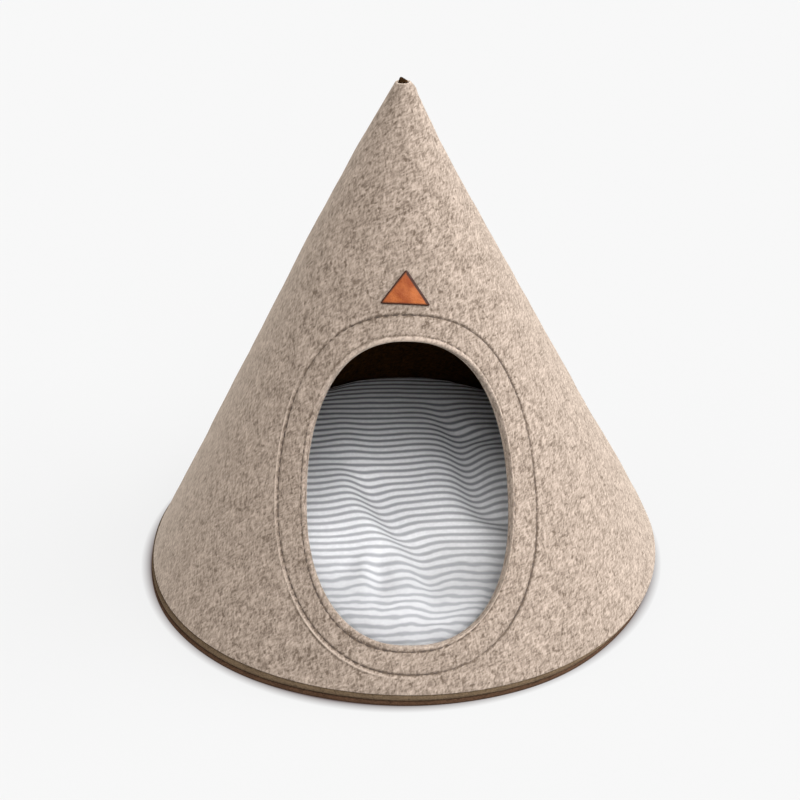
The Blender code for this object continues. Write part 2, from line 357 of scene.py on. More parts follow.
def stitching_tree(name):
    """Sews stitches along a line: one every Pitch, each turned and sized a little
    differently."""
    sockets = {"Stitch": "Object", "Pitch": "Float", "Seed": "Int", "Thread": "Material"}
    tree, wires, end = new_modifier_tree(name, sockets)
    seed = wires["Seed"]
    line = wire(tree, "GeometryNodeMeshToCurve", {"Mesh": wires["Geometry"]})
    values = {"Curve": line, "Length": wires["Pitch"]}
    spaced = wire(tree, "GeometryNodeResampleCurve", values, mode="LENGTH")
    values = {"Vector": wire(tree, "GeometryNodeInputTangent")}
    aligned = wire(
        tree, "FunctionNodeAlignRotationToVector", values, axis="X", pivot_axis="Z"
    )
    kind = "FunctionNodeRandomValue"
    values = {"Min": -STITCH_TURN, "Max": STITCH_TURN, "Seed": seed}
    turn = wire(tree, kind, values, "Value", data_type="FLOAT")
    values = {"Min": STITCH_SIZES[0], "Max": STITCH_SIZES[1], "Seed": seed}
    sizes = wire(tree, kind, values, "Value", data_type="FLOAT_VECTOR")
    values = {"Rotation": aligned, "Rotate By": vector_of(tree, 0.0, 0.0, turn)}
    turned = wire(tree, "FunctionNodeRotateRotation", values, rotation_space="LOCAL")
    stitch = wire(tree, "GeometryNodeObjectInfo", {"Object": wires["Stitch"]}, "Geometry")
    values = {"Points": spaced, "Instance": stitch, "Rotation": turned, "Scale": sizes}
    placed = wire(tree, "GeometryNodeInstanceOnPoints", values)
    real = wire(tree, "GeometryNodeRealizeInstances", {"Geometry": placed})
    values = {"Geometry": real, "Material": wires["Thread"]}
    connect(tree, wire(tree, "GeometryNodeSetMaterial", values), end)
    return tree


TREE_MAKERS = {
    "Wind to a cone": winding_tree,
    "Settle": settling_tree,
    "Stitch along a line": stitching_tree,
}


def run_tree(obj, name, values):
    """Puts a tree on an object with its inputs set, and makes the result a plain mesh."""
    tree = bpy.data.node_groups.get(name) or TREE_MAKERS[name](name)
    modifier = obj.modifiers.new(name, "NODES")
    modifier.node_group = tree
    for item in tree.interface.items_tree:
        if item.in_out == "INPUT" and item.name in values:
            modifier[item.identifier] = values[item.name]
    make_plain(obj)


def make_plain(obj):
    """Applies an object's modifiers."""
    graph = bpy.context.evaluated_depsgraph_get()
    graph.update()
    mesh = bpy.data.meshes.new_from_object(
        obj.evaluated_get(graph), preserve_all_data_layers=True, depsgraph=graph
    )
    old = obj.data
    obj.modifiers.clear()
    obj.data = mesh
    bpy.data.meshes.remove(old)
    mesh.name = obj.name


def wind(obj):
    run_tree(obj, "Wind to a cone", {"Apex Height": cone().apex_height, "Slope": slope()})


def settle(obj, aside=0.0):
    run_tree(obj, "Settle", settling_values(aside))


# ---------------------------------------------------------------------------------------
# Meshes
# ---------------------------------------------------------------------------------------

# Points nearer than this are one point.
SAME_PLACE = 0.00001


def new_object(name, data):
    obj = bpy.data.objects.new(name, data)
    bpy.context.scene.collection.objects.link(obj)
    return obj


def new_piece(name, points, faces, edges=()):
    mesh = bpy.data.meshes.new(name)
    mesh.from_pydata(points, edges, faces)
    return new_object(name, mesh)


def closed_grid(name, rows, close_rows=True, seam=None):
    """A piece from rows of points. Each row runs round, anticlockwise as seen from outside,
    and the rows run from the far edge in over the outer face and back under it. A fourth
    column holds the tone and painted light: painted highlights, painted shade and darker
    tone. With a seam, only the rows from its first to its last reach the back edges, which
    are joined once the cloth is wound."""
    count = len(rows[0])
    points = np.concatenate(rows)
    faces = []
    last = len(rows) if close_rows else len(rows) - 1
    for row in range(last):
        below = (row + 1) % len(rows)
        here = np.arange(count)
        if seam and not seam[0] <= row < seam[1]:
            here = np.setdiff1d(here, back_columns())
        after = (here + 1) % count
        corners = (row * count + here, row * count + after)
        corners += (below * count + after, below * count + here)
        faces.append(np.stack(corners, axis=1))
    piece = new_piece(name, points[:, :3].tolist(), np.concatenate(faces).tolist())
    if points.shape[1] > 3:
        # Painted highlights and painted shade, with the burnish and darker tone, kept on the
        # points.
        wear = piece.data.attributes.new("wear", "FLOAT", "POINT")
        wear.data.foreach_set("value", points[:, 3].astype(np.float32))
    return piece


def change_mesh(obj, change):
    """Runs one of the two changes below on an object's mesh."""
    mesh = bmesh.new()
    mesh.from_mesh(obj.data)
    change(mesh)
    mesh.to_mesh(obj.data)
    mesh.free()


def cap_ends(mesh):
    """Closes a mesh's open ends and turns its faces outwards."""
    bmesh.ops.holes_fill(mesh, edges=[edge for edge in mesh.edges if edge.is_boundary])
    bmesh.ops.recalc_face_normals(mesh, faces=mesh.faces)


def join_seam(mesh):
    """Joins the two sides of the back seam, and clears the points left inside it."""
    bmesh.ops.remove_doubles(mesh, verts=mesh.verts, dist=SAME_PLACE)
    loose = [point for point in mesh.verts if not point.link_faces]
    bmesh.ops.delete(mesh, geom=loose, context="VERTS")


def keep_place(obj):
    """Stores where each face's corners are on the flat pattern, for the cloth's fibres."""
    mesh = obj.data
    corners = np.empty(len(mesh.loops), dtype=np.int32)
    mesh.loops.foreach_get("vertex_index", corners)
    flat = mesh.attributes.new("flat", "FLOAT_VECTOR", "CORNER")
    flat.data.foreach_set("vector", points_of(mesh)[corners].astype(np.float32).ravel())


def points_of(mesh):
    places = np.empty(len(mesh.vertices) * 3)
    mesh.vertices.foreach_get("co", places)
    return places.reshape(-1, 3)


def move_points(mesh, places):
    mesh.vertices.foreach_set("co", places.ravel())
    mesh.update()


def wind_rows(name, rows, close_rows=True, seam=None):
    """A cloth piece from rows of points on the flat pattern, wound and settled."""
    piece = closed_grid(name, rows, close_rows, seam)
    if not close_rows:
        change_mesh(piece, cap_ends)
    keep_place(piece)
    wind(piece)
    settle(piece)
    if seam:
        change_mesh(piece, join_seam)
    return piece


def finish_piece(obj, material, replaced=()):
    obj.data.materials.clear()
    obj.data.materials.append(material)
    obj.data.shade_smooth()
    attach(obj, "root")
    if replaced:
        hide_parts(*replaced)
    return obj


def uneven(points, *waves):
    """Smooth unevenness for each flat point. Waves are a size, a reach and a seed."""
    total = 0
    for size, reach, seed in waves:
        offset = Vector((seed * 7.3, seed * 3.1, seed * 5.7))
        heights = [size * noise.noise(Vector((x, y, 0)) / reach + offset) for x, y in points]
        total = total + np.array(heights)
    return total


# ---------------------------------------------------------------------------------------
# The flat pattern
# ---------------------------------------------------------------------------------------

# How many points a row has along half the tip, one back edge and the foot.
TIP_POINTS = 10
EDGE_POINTS = 96
FOOT_POINTS = 396
# Where on the doorway, in degrees from its top, the back edge's two ends are drawn from.
TIP_BEARING = 4
FOOT_BEARING = 62
FINE_STEPS = 4096


def door_curve(share, turns):
    """The doorway's outline for turns from its top, anticlockwise as seen from outside. A
    share of 0 is the edge, and 1 is the outer stitch row."""
    size = door()
    table = np.array(DOOR_ROWS).T
    share = np.broadcast_to(share, turns.shape)
    columns = [np.interp(share, table[0], column) for column in table[1:]]
    wider, higher, aside, down = columns[:4]
    upper_right, upper_left, lower_left, lower_right = columns[4:]
    right, up = -np.sin(turns), np.cos(turns)
    upper = np.where(right >= 0, upper_right, upper_left)
    lower = np.where(right >= 0, lower_right, lower_left)
    power = 2 / np.where(up >= 0, upper, lower)
    across = (size.half_width + wider) * np.sign(right) * np.abs(right) ** power
    rise = (size.half_height + higher) * np.sign(up) * np.abs(up) ** power
    return np.stack([size.aside + aside + across, rise - size.centre - down], axis=1)


def lengths_along(points):
    """The distance along a line of points to each of them."""
    steps = np.linalg.norm(np.diff(points, axis=0), axis=1)
    return np.concatenate([[0], np.cumsum(steps)])


def door_turns():
    """The turns at which every row crosses the doorway, spaced evenly within the stretches
    that face the tip, the back edges and the foot."""
    fine = np.linspace(0, 2 * np.pi, FINE_STEPS)
    run = lengths_along(door_curve(0.5, fine))
    bearings = [0, TIP_BEARING, FOOT_BEARING, 360 - FOOT_BEARING, 360 - TIP_BEARING, 360]
    counts = [TIP_POINTS, EDGE_POINTS, FOOT_POINTS, EDGE_POINTS, TIP_POINTS]
    marks = np.interp(np.radians(bearings), fine, run)
    turns = []
    for start, end, count in zip(marks, marks[1:], counts):
        turns.append(np.interp(np.linspace(start, end, count, endpoint=False), run, fine))
    return np.concatenate(turns)


def back_columns():
    """The places in a row whose faces lie in the back seam."""
    left = TIP_POINTS + np.arange(EDGE_POINTS)
    return np.concatenate([left, left + EDGE_POINTS + FOOT_POINTS])


def door_area(share):
    """The area inside a doorway curve on the flat felt."""
    points = door_curve(share, np.linspace(0, 2 * np.pi, FINE_STEPS, endpoint=False))
    x, y = points.T
    return 0.5 * abs(np.dot(x, np.roll(y, 1)) - np.dot(y, np.roll(x, 1)))


class Doorway:
    """Rings of points round the doorway, all crossed by the same columns."""

    def __init__(self):
        self.turns = door_turns()
        row = door_curve(1, self.turns)
        self.gap = np.linalg.norm(row - door_curve(0, self.turns), axis=1)
        self.run = lengths_along(row)

    def ring(self, distance, share=0):
        """The ring this far out from a share of the way to the outer stitch row."""
        return door_curve(share + distance / self.gap.mean(), self.turns)


def seam_bearing():
    """The angle on the flat felt from its middle line to the back seam."""
    return math.pi * math.sin(slope())


def sector(tip_along, foot_along):
    """The felt's cut outline: from the middle of the tip's arc, down one back edge, along
    the foot and up the other back edge."""
    half = seam_bearing()
    tip = np.linspace(0, half, TIP_POINTS, endpoint=False)
    foot = np.linspace(-half, half, FOOT_POINTS, endpoint=False)
    edge = np.full(EDGE_POINTS, half)
    bearing = np.concatenate([-tip, -edge, foot, edge, half - tip])
    down = np.linspace(tip_along, foot_along, EDGE_POINTS, endpoint=False)
    up = np.linspace(foot_along, tip_along, EDGE_POINTS, endpoint=False)
    top, bottom = np.full(TIP_POINTS, tip_along), np.full(FOOT_POINTS, foot_along)
    along = np.concatenate([top, down, bottom, up, top])
    return np.stack([along * np.sin(bearing), -along * np.cos(bearing)], axis=1)


def foot_along(depth):
    """How far from the point a layer at this depth is cut off level at its foot."""
    size = cone()
    fallen = size.apex_height - size.foot_height
    return (fallen - depth * math.sin(slope())) / math.cos(slope())


def along_at_radius(radius, depth):
    """How far from the point a layer at this depth has this radius."""
    return (radius + depth * math.cos(slope())) / math.sin(slope())


def at_height(points, height, wear=None):
    """Flat points with a height over the outer face, and their tone and painted light (painted
    highlights and painted shade) if it is given. Both are one number or one for each point."""
    columns = [height] if wear is None else [height, wear]
    return np.column_stack([points] + [np.broadcast_to(c, len(points)) for c in columns])


def outward(near, far, count, fine):
    """Rows of points from a near ring to a far one, a fine distance apart at both ends."""
    reach = np.linalg.norm(far - near, axis=1)
    even = np.minimum(fine * count, 0.8 * reach)
    rows = []
    for share in np.linspace(0, 1, count + 1):
        run = even * share + (reach - even) * share**2 * (3 - 2 * share)
        rows.append(near + (far - near) * (run / reach)[:, None])
    return rows


def edge_rounding(radius, steps=4):
    """Distances from an edge and depths under the face that round it, from the face to
    the wall."""
    turns = [math.pi / 2 * step / steps for step in range(steps + 1)]
    return [(radius * (1 - math.sin(t)), radius * (1 - math.cos(t))) for t in turns]


def distance_to_seam(points):
    """How far flat points are from the nearer back edge."""
    along = np.linalg.norm(points, axis=1)
    bearing = np.abs(np.arctan2(points[:, 0], -points[:, 1]))
    return along * np.sin(np.maximum(seam_bearing() - bearing, 0))


# ---------------------------------------------------------------------------------------
# Materials
# ---------------------------------------------------------------------------------------

# The directions in which the felt's fibres lie, in degrees up from the right.
FIBRE_LIES = (60, 26, 96)
# A fibre's width as a share of its length, how far the fibres sway, and over what reach.
FIBRE_SLIMNESS = 0.30
FIBRE_SWAY = 0.003
SWAY_SCALE = 70.0
GRAIN_SCALE = 620.0
PIT_SCALE = 250.0
CLOUD_SCALE = 60.0
# The yarn of the cushion's cover and the grain of the leather and the thread.
YARN_PITCH = 0.0011
SLUB_SCALE = 260.0
SLUB_TINT = (0.25, 0.25, 0.28)
LEATHER_GRAIN_SCALE = 900.0
LEATHER_CLOUD_SCALE = 95.0
PLY_SCALE = 1500.0
# How far forward the stripes turn wavier, and darker and lower in contrast in painted shade
# by the sill, and how far back the grey stripes turn darker in painted shade.
FRONT_STRETCH = (-0.09, -0.20)
BACK_STRETCH = (0.06, -0.11)


def noise_of(tree, vector, scale, detail=2.0, output="Fac"):
    values = {"Vector": vector, "Scale": scale, "Detail": detail}
    return wire(tree, "ShaderNodeTexNoise", values, output)


def vector_math(tree, operation, first, second):
    return wire(tree, "ShaderNodeVectorMath", {0: first, 1: second}, operation=operation)


def attribute(tree, name, output="Vector"):
    return wire(tree, "ShaderNodeAttribute", output=output, attribute_name=name)


def place_on_object(tree):
    """The place on the object."""
    return wire(tree, "ShaderNodeTexCoord", output="Object")


def mix_colour(tree, share, first, second):
    values = {"Factor": share}
    for socket, value in ((6, first), (7, second)):
        values[socket] = value if isinstance(value, Wire) else (*value, 1.0)
    return wire(tree, "ShaderNodeMix", values, 2, data_type="RGBA")


def darker(shade, share):
    return tuple(share * part for part in shade)


def new_material(name):
    material = bpy.data.materials.new(name)
    material.use_nodes = True
    return material, material.node_tree


def set_shader(tree, values, height=None, depth=0.0):
    """Sets inputs of a material's shader, and a bump of a height and how far it stands."""
    shader = tree.nodes["Principled BSDF"]
    shader.inputs["Metallic"].default_value = 0.0
    if height:
        bump = wire(tree, "ShaderNodeBump", {"Height": height, "Distance": depth})
        values = {**values, "Normal": bump}
    for name, value in values.items():
        connect(tree, value, shader.inputs[name])


def fibre_group():
    """Short fibres pressed together, most of them leaning one way: how light they are at
    each place, their fine grain, the dark pits between them, and slow clouds."""
    name = "Felted fibres"
    if name in bpy.data.node_groups:
        return bpy.data.node_groups[name]
    inputs = {
        "Vector": "Vector",
        "Fibre Length": "Float",
        "Fibre Width": "Float",
        "Cloud Scale": "Float",
    }
    outputs = dict.fromkeys(("Fibres", "Grain", "Pits", "Clouds"), "Float")
    tree, wires, end = new_tree(name, "ShaderNodeTree", inputs, outputs)
    wander = noise_of(tree, wires["Vector"], SWAY_SCALE, output="Color")
    swayed = vector_math(tree, "MULTIPLY", wander, (FIBRE_SWAY,) * 3)
    place = vector_math(tree, "ADD", wires["Vector"], swayed)
    size = vector_of(tree, wires["Fibre Length"], wires["Fibre Width"], wires["Fibre Width"])
    lightest, darkest = None, None
    for step, lie in enumerate(FIBRE_LIES):
        values = {"Vector": place, "Angle": math.radians(-lie)}
        turned = wire(tree, "ShaderNodeVectorRotate", values, rotation_type="Z_AXIS")
        scaled = vector_math(tree, "DIVIDE", turned, size)
        values = {"Vector": scaled, "Scale": 1.0, "Detail": 0.5, "W": step * 3.7}
        level = wire(tree, "ShaderNodeTexNoise", values, "Fac", noise_dimensions="4D")
        lightest = level if lightest is None else lightest.math("MAXIMUM", level)
        darkest = level if darkest is None else darkest.math("MINIMUM", level)
    seen = lightest * 0.55 + darkest * 0.45
    grain = noise_of(tree, wires["Vector"], GRAIN_SCALE, detail=1.0)
    pits = noise_of(tree, place, PIT_SCALE, detail=0.5)
    clouds = noise_of(tree, wires["Vector"], wires["Cloud Scale"])
    connect(tree, seen.between(0.40, 0.64, "LINEAR"), end.inputs["Fibres"])
    connect(tree, grain.between(0.3, 0.7, "LINEAR"), end.inputs["Grain"])
    connect(tree, pits.between(0.38, 0.24), end.inputs["Pits"])
    connect(tree, clouds.between(0.3, 0.7, "LINEAR"), end.inputs["Clouds"])
    return tree


def felt_material(name, light, dark, fibre=0.0052, depth=0.00026, sheen=0.24, gloss=0.2):
    """Heather felt: light and dark fibres pressed together, with painted highlights on its ridges
    and painted shade in its grooves."""
    if name in bpy.data.materials:
        return bpy.data.materials[name]
    material, tree = new_material(name)
    values = {
        "Vector": attribute(tree, "flat"),
        "Fibre Length": fibre,
        "Fibre Width": fibre * FIBRE_SLIMNESS,
        "Cloud Scale": CLOUD_SCALE,
    }
    fibres = add_node(tree, "ShaderNodeGroup", node_tree=fibre_group())
    for label, value in values.items():
        connect(tree, value, fibres.inputs[label])
    seen, grain, pits, clouds = (Wire(tree, output) for output in fibres.outputs)
    share = seen * 0.80 + grain * 0.22 + clouds * 0.26 - pits * 0.35
    # Painted light: the mesh's painted highlights lighten the felt and its painted shade darkens
    # it.
    share = share + attribute(tree, "wear", "Fac") * 0.4
    values = {
        "Base Color": mix_colour(tree, share.between(0.06, 1.20, "LINEAR"), dark, light),
        "Roughness": 0.95,
        "Sheen Weight": sheen,
        "Sheen Roughness": 0.5,
        "Sheen Tint": (1.0, 0.85, 0.7, 1.0),
        "Specular IOR Level": gloss,
    }
    set_shader(tree, values, seen * 0.80 + grain * 0.18 - pits * 0.8, depth)
    return material


def outer_felt_finish():
    return felt_material("Heather felt", palette().felt_light, palette().felt_dark)


def dark_felt_finish():
    shade = palette().lining
    return felt_material("Dark felt", shade, darker(shade, 0.2), sheen=0.02, gloss=0.05)


def ticking_material():
    """Woven cotton with narrow stripes across the cushion, with painted shade that darkens the
    grey stripes at the back and both stripes by the sill.
    """
    material, tree = new_material("Ticking")
    colours = palette()
    here = attribute(tree, "weave")
    across, back, _ = axes_of(tree, here)
    front = back.between(*FRONT_STRETCH)
    ragged = noise_of(tree, here, 13.0) * front * 0.0150
    ragged = ragged + noise_of(tree, here, 34.0) * (front * 0.0110 + 0.0018)
    wave = ((back + ragged) * (2 * math.pi / cushion_sizes().stripe_pitch)).math("SINE")
    # Painted shade: darker grey stripes towards the back, and darker stripes by the sill.
    middle = back.between(*BACK_STRETCH, "LINEAR")
    grey = mix_colour(tree, middle, colours.far_grey_painted_shade, colours.stripe_grey)
    grey = mix_colour(tree, front, grey, colours.front_grey_painted_shade)
    white = mix_colour(tree, front, colours.stripe_white, colours.front_white_painted_shade)
    shade = mix_colour(tree, wave.between(-1.0, 0.65), grey, white)
    yarn = 2 * math.pi / YARN_PITCH
    weave = (across * yarn).math("SINE") * (back * yarn).math("SINE")
    slub = noise_of(tree, here, SLUB_SCALE)
    values = {
        "Base Color": mix_colour(tree, slub.between(0.75, 0.35) * 0.12, shade, SLUB_TINT),
        "Roughness": 0.9,
        "Sheen Weight": 0.1,
        "Specular IOR Level": 0.2,
    }
    set_shader(tree, values, weave * 0.5 + slub, 0.0004)
    return material


def leather_material():
    """Smooth leather with fine grain and a dark burnished edge, whose wide right side is
    painted shade too.
    """
    material, tree = new_material("Leather")
    colours = palette()
    here = attribute(tree, "flat")
    # The dark edge: burnish, with painted shade on the right side.
    edge = attribute(tree, "wear", "Fac")
    grain = {"Vector": here, "Scale": LEATHER_GRAIN_SCALE}
    cells = wire(tree, "ShaderNodeTexVoronoi", grain, "Distance")
    clouds = noise_of(tree, here, LEATHER_CLOUD_SCALE, detail=3.0)
    face = mix_colour(tree, clouds.between(0.3, 0.7), colours.leather, colours.leather_worn)
    values = {
        "Base Color": mix_colour(tree, edge.between(0.1, 0.9), face, colours.leather_edge),
        "Roughness": clouds.between(0.2, 0.8) * 0.15 + 0.40,
        "Specular IOR Level": 0.15,
    }
    set_shader(tree, values, cells + clouds * 3.0, 0.00025)
    return material


def thread_material(name, shade):
    """Spun thread, light and dark along its ply."""
    material, tree = new_material(name)
    ply = noise_of(tree, place_on_object(tree), PLY_SCALE)
    mixed = mix_colour(tree, ply.between(0.35, 0.6), darker(shade, 0.55), shade)
    set_shader(tree, {"Base Color": mixed, "Roughness": 0.7}, ply, 0.0003)
    return material


# The floor's glow right beside the base, dimmed in a painted contact shadow: its colour, how
# far out from the base's edge that starts and ends, and how fast it fades.
PAINTED_CONTACT_SHADOW = (0.17, 0.13, 0.13)
CONTACT_STRETCH = (-0.002, 0.008)
CONTACT_FADE = 0.7


def floor_material():
    """A pale floor that glows evenly, apart from a painted contact shadow round the base."""
    material, tree = new_material("Studio floor")
    x, y, _ = axes_of(tree, place_on_object(tree))
    aside = x - BASE_SHIFT
    out = (aside * aside + y * y).math("SQRT") - RIM_RADIUS
    # Painted contact shadow: the glow dims right beside the base.
    away = out.between(*CONTACT_STRETCH, "LINEAR") ** CONTACT_FADE
    values = {
        "Base Color": (*palette().floor, 1.0),
        "Emission Color": mix_colour(tree, away, PAINTED_CONTACT_SHADOW, (1.0,) * 3),
        "Emission Strength": 0.80,
        "Roughness": 0.9,
        "Specular IOR Level": 0.0,
    }
    set_shader(tree, values)
    return material


# ---------------------------------------------------------------------------------------
# Pieces
# ---------------------------------------------------------------------------------------

# The lines that run round the doorway on the outer felt. Columns: how far out from its stitch
# row or edge, how high it stands or under 0 how deep it is, its width, how light it is in
# painted highlight or under 0 how dark in painted shade, if the stitches pull it, how strong
# it is all round, and where it is stronger or weaker: how much, in which direction from the
# doorway's top, and over how wide a stretch, both in degrees. The lip and the bank carry
# painted highlights where they face the light, and the grooves and the crease painted shade.
LIP = (0.0018, 0.0006, 0.0013, 1.3, False, 0.1, ((0.9, 0, 55), (0.7, 230, 35)))
INNER_GROOVE = (0.0, -0.0011, 0.0009, -1.8, True, 0.35, ((0.65, 175, 70), (0.3, 0, 45)))
OUTER_GROOVE = (0.0, -0.0016, 0.0010, -2.1, True, 1.0, ((-0.45, 90, 45), (-0.4, 205, 16)))
BANK = (0.0030, 0.0009, 0.0007, 2.0, False, 0.1, ((1.0, 75, 25), (1.0, 138, 30)))
CREASE = (0.0049, -0.0009, 0.0008, -1.2, False, 0.0, ((0.15, 75, 25), (1.0, 142, 22)))
# The groove at the back seam. Columns: height, width and the painted shade in it.
BACK_SEAM = (-0.0013, 0.0012, -0.6)
# Where rings of points go round the doorway. Columns: from and to this far out from its
# edge, and about how far apart.
RING_SPACING = (
    (0.0364, 0.0336, 0.00140),
    (0.0336, 0.0286, 0.00060),
    (0.0286, 0.0240, 0.00045),
    (0.0240, 0.0070, 0.00170),
    (0.0070, 0.0017, 0.00045),
)
# Rows of points over each face past the rings. Columns: how many, and about how far apart
# they are at both ends.
FELT_FACE_ROWS = (60, 0.0008)
FELT_BACK_ROWS = (14, 0.002)
LINING_FACE_ROWS = (20, 0.002)
LINING_BACK_ROWS = (40, 0.003)
# The facing's flat rows: how far they start from its outer edge and end from the doorway's
# edge, and how many there are.
FACING_ROWS = (0.001, 0.008, 12)
# A share of the way to the outer stitch row that is past all lines, and about how far out
# that row is.
FAR_SHARE = 99
ROW_AWAY = 0.026
# How round the edges are: the outer felt's, its lip at the doorway, and the facing's and
# the lining's.
FELT_ROUNDING = 0.0012
LIP_ROUNDING = 0.0017
LAYER_ROUNDING = 0.0014
# Slow unevenness of the felt and the lining. Columns: size, reach and seed.
FELT_WAVES = ((0.0010, 0.090, 1), (0.0005, 0.022, 2))
LINING_WAVES = (0.0008, 0.060, 4)
# How far from an edge the felt's face comes to its full relief.
SEAM_FADE = 0.02
TIP_FADE = 0.006
FOOT_FADE = 0.004
# The felt lies still under the patch: its middle under its top, its reach and the fade.
PATCH_MIDDLE = 0.019
PATCH_REACH = 0.022
PATCH_FADE = 0.015
# The painted highlight on the felt's cut edge at the tip, the painted shade on its cut wall at
# the doorway's left, and how dark the pinched point is.
TIP_PAINTED_HIGHLIGHT = 1.5
WALL_PAINTED_SHADE = -0.6
POINT_WEAR = -1.5


def bump_at(distance, width):
    """1 on a line and 0 away from it."""
    return np.exp(-((distance / width) ** 2))


def around(turns, bearing, width):
    """1 at a bearing round the doorway, in degrees from its top, and 0 away from it."""
    off = (np.degrees(turns) - bearing + 180) % 360 - 180
    return np.exp(-((off / width) ** 2))


def felt_relief(doorway, points, share):
    """How far the outer felt's face stands over its true cone at points of one row, and its
    painted highlight or painted shade there."""
    size = door()
    pull = 0.8 + 0.2 * np.cos(2 * np.pi * doorway.run / size.pitch)
    relief, wear = 0, 0
    starts = (0, size.inner_row, 1, 1, 1)
    for start, line in zip(starts, (LIP, INNER_GROOVE, OUTER_GROOVE, BANK, CREASE)):
        away, height, width, tone, pulled, strength, changes = line
        for change, bearing, spread in changes:
            strength = strength + change * around(doorway.turns, bearing, spread)
        if pulled:
            strength = pull * strength
        shape = strength * bump_at((share - start) * doorway.gap - away, width)
        relief, wear = relief + height * shape, wear + tone * shape
    seam = distance_to_seam(points)
    height, width, tone = BACK_SEAM
    shape = np.exp(-seam / width)
    relief, wear = relief + height * shape, wear + tone * shape
    patch = np.hypot(points[:, 0] - PATCH_ASIDE, points[:, 1] + PATCH_TOP + PATCH_MIDDLE)
    quiet = np.clip(seam / SEAM_FADE, 0, 1) * np.clip((patch - PATCH_REACH) / PATCH_FADE, 0, 1)
    return relief + quiet * uneven(points, *FELT_WAVES), wear


def tip_painted_highlight():
    """The painted highlight along one row of the felt's cut edge, at the tip."""
    wear = np.zeros(2 * (TIP_POINTS + EDGE_POINTS) + FOOT_POINTS)
    wear[np.arange(-TIP_POINTS, TIP_POINTS + 1)] = TIP_PAINTED_HIGHLIGHT
    return wear


class CAVE_OT_outer_felt(bpy.types.Operator):
    """Cut the outer felt, press its stitch rows in and wind it to a cone"""

    bl_idname = "cat_cave.outer_felt"
    bl_label = "Outer Felt"

    def execute(self, context):
        size = cone()
        doorway = Doorway()
        tip = (size.apex_height - size.top_height) / math.cos(slope())
        tip_face, foot_face = tip + FELT_ROUNDING, foot_along(0) - FELT_ROUNDING
        rows = []
        for away, down in edge_rounding(FELT_ROUNDING)[:0:-1]:
            points = sector(tip + away, foot_along(down) - away)
            rows.append(at_height(points, -down, tip_painted_highlight()))
        first = len(rows)
        for points, share in self.face_rows(doorway, sector(tip_face, foot_face)):
            relief, wear = felt_relief(doorway, points, share)
            along = np.linalg.norm(points, axis=1)
            relief = relief * np.clip((along - tip_face) / TIP_FADE, 0, 1)
            relief = relief * np.clip((foot_face - along) / FOOT_FADE, 0, 1)
            rows.append(at_height(points, relief, wear))
        lip, wear = felt_relief(doorway, doorway.ring(LIP_ROUNDING), LIP_ROUNDING / ROW_AWAY)
        # Painted shade on the felt's cut wall at the doorway's left.
        shaded = WALL_PAINTED_SHADE * around(doorway.turns, 90, 60)
        for away, down in edge_rounding(LIP_ROUNDING):
            tone = wear + shaded * down / LIP_ROUNDING
            rows.append(at_height(doorway.ring(away), lip - down, tone))
        for away, down in reversed(edge_rounding(FELT_ROUNDING)):
            rows.append(at_height(doorway.ring(away), down - size.felt, shaded))
        back = sector(along_at_radius(size.tip_hole, size.felt), foot_along(size.felt))
        for points in outward(doorway.ring(FELT_ROUNDING), back, *FELT_BACK_ROWS)[1:]:
            rows.append(at_height(points, -size.felt, 0))
        last = len(rows) - 1
        rows.append(self.hole_row(size))
        piece = wind_rows("outer_felt_cloth", rows, seam=(first, last))
        finish_piece(piece, outer_felt_finish(), ("outer_felt",))
        reach = foot_along(0)
        flat = (2 * reach * math.sin(seam_bearing()), reach)
        area = seam_bearing() * (reach**2 - tip**2) - door_area(0)
        return {"FINISHED"}

    def face_rows(self, doorway, far):
        """Rows of points over the face, and each one's share of the way to the outer row."""
        most = RING_SPACING[0][0]
        for points in reversed(outward(doorway.ring(most), far, *FELT_FACE_ROWS)):
            yield points, FAR_SHARE
        for start, end, step in RING_SPACING:
            count = round((start - end) / step)
            for distance in np.linspace(start, end, count, endpoint=False):
                if distance < most:
                    yield doorway.ring(distance), distance / doorway.gap.mean()

    def hole_row(self, size):
        """A row round the middle of the foot's cut edge and just inside the tip's hole."""
        fallen = size.apex_height - size.top_height + FELT_ROUNDING
        sine, cosine = math.sin(slope()), math.cos(slope())
        tip_along = size.tip_hole * sine + fallen * cosine
        points = sector(tip_along, foot_along(size.felt / 2))
        height = np.full(len(points), -size.felt / 2)
        in_tip = np.arange(-TIP_POINTS, TIP_POINTS + 1)
        height[in_tip] = size.tip_hole * cosine - fallen * sine
        return at_height(points, height, tip_painted_highlight())


class CAVE_OT_doorway_facing(bpy.types.Operator):
    """Cut the felt ring behind the doorway's edge"""

    bl_idname = "cat_cave.doorway_facing"
    bl_label = "Doorway Facing"

    def execute(self, context):
        size, reach = cone(), door().facing_reach
        doorway = Doorway()
        top = -(size.felt + size.gap)
        bottom = top - size.lining
        far = reach * doorway.gap.mean()
        setback = door().facing_setback * np.maximum(np.sin(doorway.turns), 0)
        start, end, count = FACING_ROWS
        outer = np.linspace(far - start, end, count)
        rounding = edge_rounding(LAYER_ROUNDING)
        rows = [at_height(doorway.ring(distance), top) for distance in outer]
        for away, down in rounding:
            rows.append(at_height(doorway.ring(setback + away), top - down))
        for away, down in reversed(rounding):
            rows.append(at_height(doorway.ring(setback + away), bottom + down))
        rows += [at_height(doorway.ring(distance), bottom) for distance in outer[::-1]]
        rows.append(at_height(doorway.ring(far), (top + bottom) / 2))
        piece = wind_rows("doorway_facing_cloth", rows)
        finish_piece(piece, outer_felt_finish(), ("doorway_facing",))
        edge = door_curve(reach, doorway.turns)
        flat = tuple(edge.max(axis=0) - edge.min(axis=0))
        area = max(door_area(reach) - door_area(0), 0.3 * flat[0] * flat[1])
        return {"FINISHED"}


